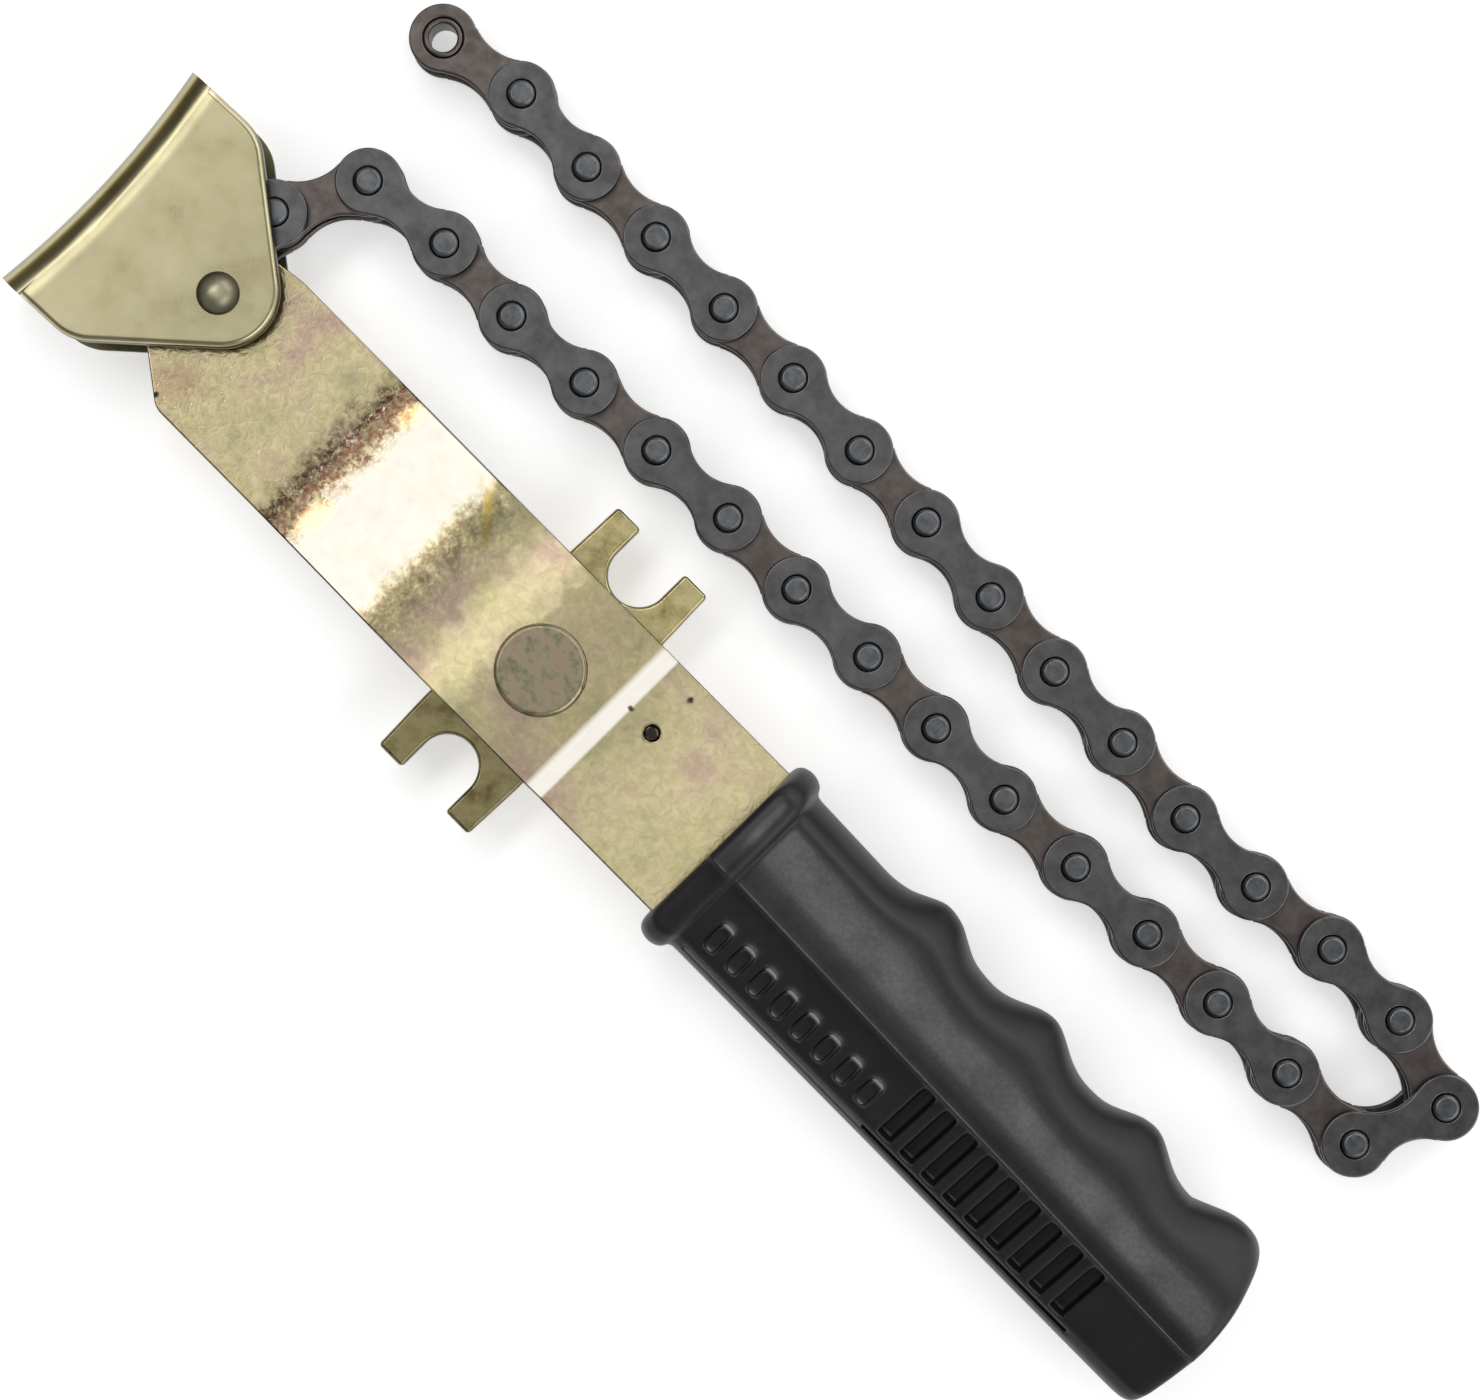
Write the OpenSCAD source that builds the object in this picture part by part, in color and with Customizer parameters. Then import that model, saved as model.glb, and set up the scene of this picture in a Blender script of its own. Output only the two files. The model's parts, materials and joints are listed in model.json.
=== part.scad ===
// Chain oil filter wrench: a folded jaw shoe and a roller chain hang on one rivet at the end of a lever bar.
// Lengths are in millimetres. X runs from the head rivet to the grip, Y towards the chain, Z up from the table.

/* [Chain] */
// Distance from pin to pin
pitch = 12.7; // [12:0.1:14]
// Pairs of one outer and one inner link
link_pairs = 16; // [10:1:16]
// Clear width between the two plates of an inner link
inner_gap = 3.3; // [2.6:0.1:4.8]
// Thickness of every chain plate
plate_t = 1.2; // [0.8:0.1:1.4]
// Diameter of the pins
pin_d = 3.6; // [2.6:0.1:4]
// Length of each pin end that stands out of its outer plate
pin_proud = 0.5; // [0.2:0.1:0.7]
// Height of an outer plate across its round ends
outer_h = 8.6; // [7:0.1:9]
// Height of an outer plate at its waist
outer_waist = 4.6; // [3.6:0.1:6]
// Height of an inner plate across its round ends
inner_h = 8.9; // [7.5:0.1:9.2]
// Height of an inner plate at its waist
inner_waist = 5.4; // [4:0.1:6.4]
// Outside diameter of the bushings
bush_d = 5.2; // [4.6:0.1:6]
// Outside diameter of the rollers
roller_d = 7.75; // [6.8:0.05:8.5]

/* [Jaw shoe] */
// Length of the jaw across the filter's curve
jaw_len = 36; // [30:1:48]
// Distance from the rivet to the middle of the jaw face
jaw_reach = 21; // [20:0.5:28]
// Radius of the hollow jaw face
jaw_face_r = 120; // [60:5:200]
// Thickness of the folded sheet
jaw_sheet = 2; // [1.5:0.1:2.5]
// Clear width between the two cheeks
jaw_gap = 10; // [9.8:0.1:11]
// Outside radius of the two folds
jaw_fold_r = 4; // [2.6:0.1:5]
// Radius of the cheeks' nose round the rivet
jaw_nose_r = 7.4; // [5:0.1:9]
// Radius of the cheeks' outer corners
jaw_corner_r = 7; // [3:0.5:9]
// Length of the straight end edge of a cheek
jaw_end_edge = 8.5; // [6:0.5:12]
// Distance from the rivet to the jaw's middle line
jaw_offset = 0.6; // [0:0.1:2]
// Angle at which the jaw lies on its rivet
jaw_turn = 2.5; // [-5:0.5:10]

/* [Head rivet] */
// Diameter of the rivet's round head
rivet_head_d = 5.7; // [5:0.1:8]
// Height of the round head
rivet_head_h = 1.9; // [1:0.1:2.5]
// Depth of the countersunk tail
rivet_tail_h = 1; // [0.6:0.1:1.2]
// Width that the countersunk tail gains on the shank, all round
rivet_tail_flare = 1; // [0.5:0.1:1.5]

/* [Lever bar] */
// Thickness of the bar
bar_t = 5; // [3.5:0.1:5.4]
// Width of the blade
bar_w = 25; // [20:0.5:32]
// Distance from the rivet to the blade's edge beside the chain
bar_edge = 8.7; // [8.2:0.1:12]
// Radius of the blade's end round the rivet
bar_nose_r = 7.9; // [5:0.1:8]
// Radius of the blade's corners
bar_corner_r = 3; // [1:0.1:4]
// Distance from the rivet to the sheared corner
bar_shear_x = 5; // [4:0.1:12]
// Distance from the rivet to the start of the rising bend
bend_x = 23; // [20:0.5:28]
// Radius of the lower bend at the bar's middle
lower_bend_r = 20; // [8:1:30]
// Straight length between the two bends
slope_len = 15; // [10:0.5:18]
// Radius of the upper bend at the bar's middle
upper_bend_r = 50; // [20:1:60]
// Distance from the rivet to the step behind the catch plate
step_x = 72.3; // [72:0.1:76]
// Length of the step along the bar
step_run = 2.5; // [1.5:0.1:4]
// Drop of the bar at the step
step_drop = 1; // [0.5:0.1:1.5]
// Distance from the rivet to the punch mark
mark_x = 78.9; // [77:0.1:82]
// Sideways distance from the rivet to the punch mark
mark_y = -0.2; // [-8:0.1:4]
// Diameter of the punch mark
mark_d = 2; // [1:0.1:4]
// Depth of the punch mark
mark_depth = 0.8; // [0.3:0.1:2]
// Width of the tang inside the grip
tang_w = 18; // [12:0.5:20]
// Length of the tang inside the grip
tang_len = 74; // [40:1:78]

/* [Catch plate] */
// Distance from the rivet to the middle of the catch plate
catch_x = 63.2; // [62:0.1:63.4]
// Sideways distance from the rivet to the middle of the catch plate
catch_y = -4.6; // [-6:0.1:-3]
// Distance from the plate's middle to the fork tips
catch_reach = 21.8; // [19:0.1:23]
// Width of each prong at its tip
prong_w = 4.1; // [3:0.1:4.6]
// Width that each prong gains towards the bar
prong_taper = 0.3; // [0:0.1:0.6]
// Depth of each slot
slot_depth = 8.4; // [6:0.1:10]
// Diameter of the catch rivet's shank
catch_rivet_d = 6; // [4:0.5:8]
// Diameter of its low round head
catch_head_d = 12; // [9:0.5:14]
// Height of its low round head
catch_head_h = 1.2; // [0.6:0.1:2]
// Diameter of its formed tail
catch_tail_d = 9; // [8:0.5:10]

/* [Grip] */
// Distance from the rivet to the grip's collar
grip_x = 95; // [90:1:100]
// Length of the grip
grip_len = 89; // [85:1:110]
// Thickness of the grip behind its collar
grip_t = 17.6; // [14:0.2:18.4]
// Distance from the blade's middle line to the straight edge
grip_back = 13.8; // [12.4:0.1:16]
// Distance from the blade's middle line to the finger edge at the collar
grip_front = 13.2; // [12.4:0.1:16]
// Narrowing of the finger edge along the grip
grip_taper = 2.6; // [0:0.1:4]
// Height of the finger swells
finger_h = 3; // [1:0.1:4]
// Distance between the finger swells
finger_pitch = 19; // [17:0.5:22]
// Distance from the collar's end to the first swell
finger_x = 27.5; // [24:0.5:30]
// Length of the collar bead
collar_len = 4.6; // [3:0.1:6]
// Rise of the collar bead over the grip, all round
collar_rise = 1.2; // [0.6:0.1:2]
// Radius of the grip's end in plan
grip_end_r = 54; // [30:1:80]
// Distance from the blade's middle line to the furthest point of the grip's end, towards the straight edge
grip_end_y = 4; // [0:0.5:8]
// Depth of the sunk side panels
panel_depth = 0.8; // [0.4:0.1:1.2]
// Distance between the ribs and blocks in the side panels
rib_pitch = 3.9; // [3:0.1:4.4]
// Width of each rib
rib_w = 1.7; // [1:0.1:2.4]
// Length of each small block
block_len = 2.5; // [1.5:0.1:2.8]

/* [Fits] */
// Clearance round pressed pieces
press_fit = 0.02; // [0.01:0.01:0.04]
// Clearance round pieces that turn
turn_fit = 0.05; // [0.03:0.01:0.09]
// Side play between neighbouring links
side_play = 0.14; // [0.1:0.01:0.2]
// Clearance between the catch plate and a link's inner plates
catch_play = 0.15; // [0.05:0.01:0.3]
// Clearance between a roller and the sides of a slot
slot_play = 0.2; // [0.1:0.05:0.4]
// Clearance between the tang and the grip
tang_play = 0.05; // [0.02:0.01:0.2]

/* [Hidden] */
$fn = 48;
// Direction of each link as the chain lies beside the lever, in degrees, from the head rivet to the free end
headings = [
    103, 64, 6, -2, 3, 2, 2, -1, 2, -1, -1, 2, 2, 1, 0, -1,
    67, 163, 179, 186, 181, 175, 179, 176, 176, 178, 178, 180, 179, 180, 177, 189
];
bush_len = inner_gap + 2 * plate_t;
outer_gap = bush_len + 2 * side_play;
pin_len = outer_gap + 2 * plate_t + 2 * pin_proud;
// The chain settles on the table by a little less than its side play at every joint
link_drop = side_play - press_fit;
jaw_w = jaw_gap + 2 * jaw_sheet;
head_z = jaw_w / 2;
fork_t = inner_gap - 2 * catch_play;
slot_w = roller_d + 2 * slot_play;
// The bar rises so far that the catch plate under it lines up with the chain
seat_rise = (bar_t + fork_t) / 2;
bend_r = lower_bend_r + upper_bend_r;
slope_a = atan2(bend_r, slope_len) + asin((seat_rise - bend_r) / norm([bend_r, slope_len]));
seat_z = head_z + seat_rise;
grip_z = seat_z - step_drop;
bar_mid = bar_edge - bar_w / 2;
shoulder_x = grip_x + collar_len / 2;
// A plate's neck is this share of its height where it leaves the round ends
neck_share = 0.8;
// Share of the radius at which a waist would run straight into the round ends
waist_share = 0.92;
pin_chamfer = 0.45;
// Sizes beyond this reach past every piece that they cut
past = 60;

// Convex outline round circles [x, y, r] that are listed anticlockwise. The arcs sit a hair inside the points where
// the straight edges touch them, so that the two always cross
arc_inset = 0.01;
function touch_dir(a, b) =
    atan2(b.y - a.y, b.x - a.x) - 90 + asin((a.z - b.z) / norm([b.x - a.x, b.y - a.y]));
function on_circle(c, dir) = [c.x + c.z * cos(dir), c.y + c.z * sin(dir)];
module round_outline(circles) {
    count = len(circles);
    polygon([
        for (i = [0:count - 1])
            let (a = circles[i], b = circles[(i + 1) % count], dir = touch_dir(a, b))
                each [on_circle(a, dir), on_circle(b, dir)]
    ]);
    for (c = circles) translate([c.x, c.y]) circle(r = c.z - arc_inset);
}

// Chain
function heading(k) = headings[min(k, len(headings)) - 1];
function pin_at(k) = k == 0 ? [0, 0] : pin_at(k - 1) + pitch * [cos(heading(k)), sin(heading(k))];
function link_z(k) = max(head_z - link_drop * (k - 1), pin_len / 2);
function waist_r(h, waist) =
    waist_share * (pow(pitch / 2, 2) + pow(waist / 2, 2) - pow(h / 2, 2)) / (h - waist);

module at_link(k) {
    start = pin_at(k - 1);
    translate([start.x, start.y, link_z(k)]) rotate([0, 0, heading(k)]) children();
}

module chain_plate(h, waist, near_hole, far_hole) {
    r = waist_r(h, waist);
    linear_extrude(plate_t) difference() {
        union() {
            for (x = [0, pitch]) translate([x, 0]) circle(d = h);
            difference() {
                translate([0, -neck_share * h / 2]) square([pitch, neck_share * h]);
                for (side = [-1, 1]) translate([pitch / 2, side * (waist / 2 + r)]) circle(r = r);
            }
        }
        circle(d = near_hole);
        translate([pitch, 0]) circle(d = far_hole);
    }
}

module plate_pair(gap, h, waist, near_hole, far_hole) {
    for (z = [-gap / 2 - plate_t, gap / 2])
        translate([0, 0, z]) chain_plate(h, waist, near_hole, far_hole);
}

module chain_pin() {
    body = pin_len - 2 * pin_chamfer;
    end_r = pin_d / 2 - pin_chamfer;
    rotate_extrude() polygon([
        [0, -pin_len / 2], [end_r, -pin_len / 2], [pin_d / 2, -body / 2],
        [pin_d / 2, body / 2], [end_r, pin_len / 2], [0, pin_len / 2]
    ]);
}

module tube(outside_d, inside_d, length) {
    linear_extrude(length, center = true) difference() {
        circle(d = outside_d);
        circle(d = inside_d);
    }
}

module outer_plates(n) {
    pin_hole = pin_d + 2 * press_fit;
    near_hole = n == 1 ? pin_d + 2 * turn_fit : pin_hole;
    color("#3c3d40") at_link(2 * n - 1)
        plate_pair(outer_gap, outer_h, outer_waist, near_hole, pin_hole);
}

module link_pins(n) {
    color("#5a5d62") at_link(2 * n - 1)
        for (x = n == 1 ? [pitch] : [0, pitch]) translate([x, 0, 0]) chain_pin();
}

module inner_link(n) {
    bush_hole = bush_d + 2 * press_fit;
    color("#45423f") at_link(2 * n) {
        plate_pair(inner_gap, inner_h, inner_waist, bush_hole, bush_hole);
        for (x = [0, pitch]) translate([x, 0, 0]) {
            tube(bush_d, pin_d + 2 * turn_fit, bush_len);
            tube(roller_d, bush_d + 2 * turn_fit, inner_gap - 2 * turn_fit);
        }
    }
}

// Jaw shoe
module fold_outline(length, width, r) {
    translate([r, 0]) square([length - r, width]);
    translate([0, r]) square([length, width - 2 * r]);
    for (y = [r, width - r]) translate([r, y]) circle(r = r);
}

module channel_section() {
    difference() {
        fold_outline(past, jaw_w, jaw_fold_r);
        translate([jaw_sheet, jaw_sheet]) fold_outline(past, jaw_gap, jaw_fold_r - jaw_sheet);
    }
}

module cheek_outline() {
    corner_x = jaw_end_edge - jaw_reach;
    corner_y = jaw_len / 2 - jaw_corner_r;
    edge_r = 0.5;
    round_outline([
        [0, 0, jaw_nose_r],
        [corner_x, corner_y, jaw_corner_r],
        [-past / 2, jaw_len / 2 - edge_r, edge_r],
        [-past / 2, edge_r - jaw_len / 2, edge_r],
        [corner_x, -corner_y, jaw_corner_r]
    ]);
}

module jaw_shoe() {
    hole_r = pin_d / 2 + turn_fit;
    color("#cdb873") rotate([0, 0, jaw_turn]) difference() {
        translate([0, jaw_offset, 0]) intersection() {
            linear_extrude(jaw_w) cheek_outline();
            translate([-jaw_reach - jaw_face_r, 0, 0])
                rotate_extrude($fn = 360) translate([jaw_face_r, 0]) channel_section();
        }
        translate([0, 0, -1]) cylinder(h = jaw_w + 2, r = hole_r);
        translate([0, 0, -turn_fit])
            cylinder(h = rivet_tail_h + turn_fit, r1 = hole_r + rivet_tail_flare, r2 = hole_r);
    }
}

module head_rivet() {
    dome_r = (pow(rivet_head_d / 2, 2) + pow(rivet_head_h, 2)) / (2 * rivet_head_h);
    seat = jaw_w + turn_fit;
    color("#9c9584") rotate_extrude() {
        square([pin_d / 2, seat + rivet_head_h / 2]);
        polygon([[0, 0], [pin_d / 2 + rivet_tail_flare, 0], [pin_d / 2, rivet_tail_h], [0, rivet_tail_h]]);
        translate([0, seat]) intersection() {
            translate([0, rivet_head_h - dome_r]) circle(r = dome_r);
            square([rivet_head_d / 2, rivet_head_h]);
        }
    }
}

// Lever bar: stations along its middle line, [x, height over the head, slope]
slope_at = [bend_x + lower_bend_r * sin(slope_a), lower_bend_r * (1 - cos(slope_a))];
crest_at = slope_at + slope_len * [cos(slope_a), sin(slope_a)];
seat_x = crest_at.x + upper_bend_r * sin(slope_a);
bend_steps = 6;
bar_stations = concat(
    [[-past, 0, 0]],
    [for (i = [0:bend_steps]) let (a = slope_a * i / bend_steps)
        [bend_x + lower_bend_r * sin(a), lower_bend_r * (1 - cos(a)), a]],
    [for (i = [bend_steps:-1:0]) let (a = slope_a * i / bend_steps)
        [seat_x - upper_bend_r * sin(a), seat_rise - upper_bend_r * (1 - cos(a)), a]],
    [[step_x, seat_rise, 0], [step_x + step_run, seat_rise - step_drop, 0]],
    [[shoulder_x + tang_len, seat_rise - step_drop, 0]]
);
function beside(station, d) = [station.x - d * sin(station.z), station.y + d * cos(station.z)];

module bar_side() {
    last = len(bar_stations) - 1;
    polygon(concat(
        [for (i = [0:last]) beside(bar_stations[i], -bar_t / 2)],
        [for (i = [last:-1:0]) beside(bar_stations[i], bar_t / 2)]
    ));
}

module bar_plan() {
    low_edge = bar_edge - bar_w;
    end_r = 1;
    round_outline([
        [0, 0, bar_nose_r],
        [-0.9, -4, bar_nose_r - 1],
        [bar_shear_x, low_edge + bar_corner_r, bar_corner_r],
        [shoulder_x - end_r, low_edge + end_r, end_r],
        [shoulder_x - end_r, bar_edge - end_r, end_r],
        [bar_shear_x + 1, bar_edge - bar_corner_r, bar_corner_r]
    ]);
    translate([shoulder_x - 2 * end_r, bar_mid - tang_w / 2]) square([tang_len + 2 * end_r, tang_w]);
}

module lever_bar() {
    color("#c2ad70") difference() {
        intersection() {
            linear_extrude(past) bar_plan();
            translate([0, past, head_z]) rotate([90, 0, 0]) linear_extrude(2 * past) bar_side();
        }
        cylinder(h = past, r = pin_d / 2 + turn_fit);
        translate([catch_x, catch_y, 0]) cylinder(h = past, r = catch_rivet_d / 2 + press_fit);
        translate([mark_x, mark_y, grip_z + bar_t / 2 - mark_depth]) cylinder(h = past, d = mark_d);
    }
}

// Catch plate
module fork_half() {
    half_w = slot_w / 2 + prong_w;
    root = catch_reach - slot_depth;
    difference() {
        polygon([
            [-half_w - prong_taper, 0], [half_w + prong_taper, 0], [half_w + prong_taper, root],
            [half_w, catch_reach], [-half_w, catch_reach], [-half_w - prong_taper, root]
        ]);
        translate([0, root + slot_w / 2]) {
            circle(d = slot_w);
            translate([-slot_w / 2, 0]) square([slot_w, slot_depth]);
        }
    }
}

module catch_plate() {
    color("#c7b577") translate([catch_x, catch_y, head_z - fork_t / 2]) linear_extrude(fork_t)
        difference() {
            for (turn = [0, 180]) rotate(turn) fork_half();
            circle(r = catch_rivet_d / 2 + press_fit);
        }
}

module catch_rivet() {
    head_z0 = seat_z + bar_t / 2;
    tail_z1 = head_z - fork_t / 2;
    edge = catch_head_h / 3;
    color("#c4b076") translate([catch_x, catch_y, 0]) {
        translate([0, 0, tail_z1]) cylinder(h = head_z0 - tail_z1, d = catch_rivet_d);
        translate([0, 0, head_z0]) rotate_extrude() polygon([
            [0, 0], [catch_head_d / 2, 0], [catch_head_d / 2, catch_head_h - edge],
            [catch_head_d / 2 - edge, catch_head_h], [0, catch_head_h]
        ]);
        translate([0, 0, tail_z1 - catch_head_h])
            cylinder(h = catch_head_h, d1 = catch_tail_d - 2 * edge, d2 = catch_tail_d);
    }
}

// Grip: rings of points along the handle, [distance from the collar's end, scale of the section]
collar_scale = 1 + 2 * collar_rise / grip_t;
edge_scale = (1 + collar_scale) / 2;
ring_step = 2;
end_len = 3;
body_end = grip_len - end_len;
grip_rings = concat(
    [[0, 1], [0.1 * collar_len, edge_scale], [0.35 * collar_len, collar_scale]],
    [[0.65 * collar_len, collar_scale], [0.9 * collar_len, edge_scale], [collar_len, 1]],
    [for (x = [collar_len + ring_step:ring_step:body_end - ring_step / 2]) [x, 1]],
    [[body_end, 1], [body_end + 0.5 * end_len, 0.985], [body_end + 0.8 * end_len, 0.95], [grip_len, 0.88]]
);
// Four narrow swells, the last one broader where it runs into the end
function swell(x) = let (turns = (x - finger_x) / finger_pitch)
    turns < -0.5 ? 0 : finger_h * pow(abs(cos(180 * turns)), turns < 2.5 ? 3 : 1.2);
function finger_edge(x) = grip_front - grip_taper * x / grip_len + swell(x);
function ridge_y(x) = -1.8 - 1.7 * x / grip_len;
// Upper half of the section, from the straight edge over the sloped panel and the ridge to the finger edge
function half_section(x) = let (f = finger_edge(x), r = ridge_y(x), t = grip_t / 2) [
    [-grip_back, 0], [-grip_back + 0.3, 0.25 * t], [-grip_back + 1.5, 0.46 * t],
    [r - 1.2, 0.93 * t], [r, t], [r + 7, t],
    [f - 5, 0.87 * t], [f - 2, 0.63 * t], [f - 0.5, 0.33 * t], [f, 0]
];
function section(x) = let (top = half_section(x), n = len(top)) concat(
    top, [for (i = [n - 2:-1:1]) [top[i].x, -top[i].y]]
);
// The end of the grip is bowed in plan, more and more over its last part
function bow(x) = pow(max(0, 1 - (grip_len - x) / (5 * end_len)), 2);
function ring_points(ring) = [
    for (p = section(ring[0])) let (q = ring[1] * p, off = q.x + grip_end_y)
        [grip_x + ring[0] - bow(ring[0]) * off * off / (2 * grip_end_r), bar_mid + q.x, grip_z + q.y]
];
sides = len(section(0));

module grip_body() {
    rows = len(grip_rings);
    last = rows * sides;
    points = concat(
        [for (ring = grip_rings) each ring_points(ring)],
        [[grip_x, bar_mid, grip_z], [grip_x + grip_len, bar_mid - grip_end_y, grip_z]]
    );
    walls = [
        for (i = [0:rows - 2]) for (j = [0:sides - 1])
            let (a = i * sides + j, b = i * sides + (j + 1) % sides)
                each [[a, b, b + sides], [a, b + sides, a + sides]]
    ];
    caps = [
        for (j = [0:sides - 1]) let (k = (j + 1) % sides, top = last - sides)
            each [[j, last, k], [top + j, top + k, last + 1]]
    ];
    polyhedron(points, concat(walls, caps));
}

// Sunk side panel with a row of blocks and a row of ribs, on a frame that lies on the sloped face
panel_a = atan2(0.47 * grip_t / 2, grip_back - 1.5 + ridge_y(grip_len / 2) - 1.2);
panel_w = 8.2;
panel_x = 6.5;
block_count = 8;
rib_count = 10;
panel_len = rib_pitch * (block_count + rib_count) - block_len / 2;

module on_panel(side) {
    mid_y = (ridge_y(grip_len / 2) + 0.3 - grip_back) / 2;
    translate([grip_x + panel_x, bar_mid + mid_y, grip_z]) mirror([0, 0, side < 0 ? 1 : 0])
        translate([0, 0, 0.695 * grip_t / 2]) rotate([panel_a, 0, 0]) children();
}

module panel_cut() {
    difference() {
        translate([0, -panel_w / 2, -panel_depth]) cube([panel_len, panel_w, 3 * panel_depth]);
        for (i = [0:block_count - 1])
            translate([rib_pitch * (i + 0.2), -panel_w / 4, -2 * panel_depth])
                cube([block_len, panel_w / 2, 2 * panel_depth]);
        for (i = [block_count:block_count + rib_count - 1])
            translate([rib_pitch * (i + 0.2), -panel_w / 2 - 1, -2 * panel_depth])
                cube([rib_w, panel_w + 2, 2 * panel_depth]);
    }
}

module grip() {
    color("#232326") difference() {
        grip_body();
        for (side = [-1, 1]) on_panel(side) panel_cut();
        translate([grip_x - 1, bar_edge - bar_w - tang_play, grip_z - bar_t / 2 - tang_play])
            cube([shoulder_x - grip_x + 1 + tang_play, bar_w + 2 * tang_play, bar_t + 2 * tang_play]);
        translate([grip_x - 1, bar_mid - tang_w / 2 - tang_play, grip_z - bar_t / 2 - tang_play])
            cube([
                shoulder_x - grip_x + 1 + tang_len + tang_play, tang_w + 2 * tang_play, bar_t + 2 * tang_play
            ]);
    }
}

lever_bar();
grip();
catch_plate();
catch_rivet();
head_rivet();
jaw_shoe();
for (n = [1:link_pairs]) {
    outer_plates(n);
    link_pins(n);
    inner_link(n);
}
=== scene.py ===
"""Looks of the chain oil filter wrench: plated lever and jaw, black roller chain, moulded rubber grip.

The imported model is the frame. Lengths here are written in millimetres and turned to metres by MM.
X runs from the head rivet to the grip, Y towards the chain, Z up from the table.
"""
import json
from math import cos, pi, radians, sin

import bmesh
import bpy
from mathutils import Matrix, Vector

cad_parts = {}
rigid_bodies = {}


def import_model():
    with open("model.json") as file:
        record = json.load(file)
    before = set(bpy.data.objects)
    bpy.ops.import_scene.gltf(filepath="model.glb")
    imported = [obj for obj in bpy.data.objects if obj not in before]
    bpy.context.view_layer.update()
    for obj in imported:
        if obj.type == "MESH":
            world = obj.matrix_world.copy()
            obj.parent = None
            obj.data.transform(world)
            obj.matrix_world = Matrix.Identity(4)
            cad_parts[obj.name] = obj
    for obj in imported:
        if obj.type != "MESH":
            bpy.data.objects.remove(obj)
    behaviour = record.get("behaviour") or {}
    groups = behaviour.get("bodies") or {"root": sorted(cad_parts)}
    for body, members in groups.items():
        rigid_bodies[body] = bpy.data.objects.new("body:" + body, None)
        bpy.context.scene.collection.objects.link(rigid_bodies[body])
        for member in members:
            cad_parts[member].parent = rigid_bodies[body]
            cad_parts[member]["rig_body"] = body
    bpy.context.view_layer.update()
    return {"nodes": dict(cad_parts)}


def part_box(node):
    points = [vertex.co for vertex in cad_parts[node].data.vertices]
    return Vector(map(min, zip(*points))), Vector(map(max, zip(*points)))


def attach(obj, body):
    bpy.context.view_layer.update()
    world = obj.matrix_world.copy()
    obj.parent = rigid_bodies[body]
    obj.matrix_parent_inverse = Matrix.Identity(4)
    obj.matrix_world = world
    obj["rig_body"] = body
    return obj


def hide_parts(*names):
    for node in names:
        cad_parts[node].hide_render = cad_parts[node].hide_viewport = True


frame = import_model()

MM = 0.001
LINK_PAIRS = sum(name.startswith("inner_link_") for name in frame["nodes"])

# The photograph, in its pixels: the head rivet's place, the lever's direction and the scale at the height SCALE_Z
IMAGE_W, IMAGE_H = 1480, 1400
RIVET_PX = Vector((223.5, 297.5))
LEVER_TURN = radians(45.3)
PX_PER_MM, SCALE_Z = 7.748, 9


def linear(code):
    """The linear RGBA colour of an sRGB hex code."""
    parts = [int(code[i:i + 2], 16) / 255 for i in (1, 3, 5)]
    return [c / 12.92 if c <= 0.04045 else ((c + 0.055) / 1.055) ** 2.4 for c in parts] + [1.0]


def put(tree, kind, fields, sockets):
    """Adds a shader node: its own fields, then its sockets, each set to a value or linked to another socket."""
    node = tree.nodes.new("ShaderNode" + kind)
    for name, value in fields.items():
        if name == "stops":
            points = node.color_ramp.elements
            while len(points) < len(value):
                points.new(0.5)
            for point, (place, tone) in zip(points, value):
                point.position = place
                point.color = linear(tone) if isinstance(tone, str) else [tone] * 3 + [1]
        else:
            setattr(node, name, value)
    for name, value in sockets.items():
        if isinstance(value, bpy.types.NodeSocket):
            tree.links.new(value, node.inputs[name])
        else:
            node.inputs[name].default_value = value
    return node


def new_finish(name):
    """An empty finish: its material, node tree, shader and the piece's own coordinates."""
    finish = bpy.data.materials.new(name)
    finish.use_nodes = True
    tree = finish.node_tree
    here = put(tree, "TexCoord", {}, {}).outputs["Object"]
    return finish, tree, tree.nodes["Principled BSDF"], here


def per(size):
    """The texture scale whose features are this many millimetres across."""
    return 1 / (size * MM)


# Camera and stage
CAMERA_Z, SENSOR = 475, 36
FLOOR_GLOW = 0.48


def place_camera():
    """Looks straight down on the photograph's middle, turned so that the lever runs down to the right."""
    camera = bpy.data.cameras.new("camera")
    camera.sensor_width = SENSOR
    camera.lens = PX_PER_MM * (CAMERA_Z - SCALE_Z) * SENSOR / IMAGE_W
    camera.clip_start = 0.01
    off = (Vector((IMAGE_W / 2, IMAGE_H / 2)) - RIVET_PX) / PX_PER_MM
    middle = Vector((off.x, -off.y, 0)) + Vector((0, 0, CAMERA_Z))
    holder = bpy.data.objects.new("camera", camera)
    holder.location = Matrix.Rotation(LEVER_TURN, 3, "Z") @ middle * MM
    holder.rotation_euler = (0, 0, LEVER_TURN)
    bpy.context.scene.collection.objects.link(holder)
    bpy.context.scene.camera = holder


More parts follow.
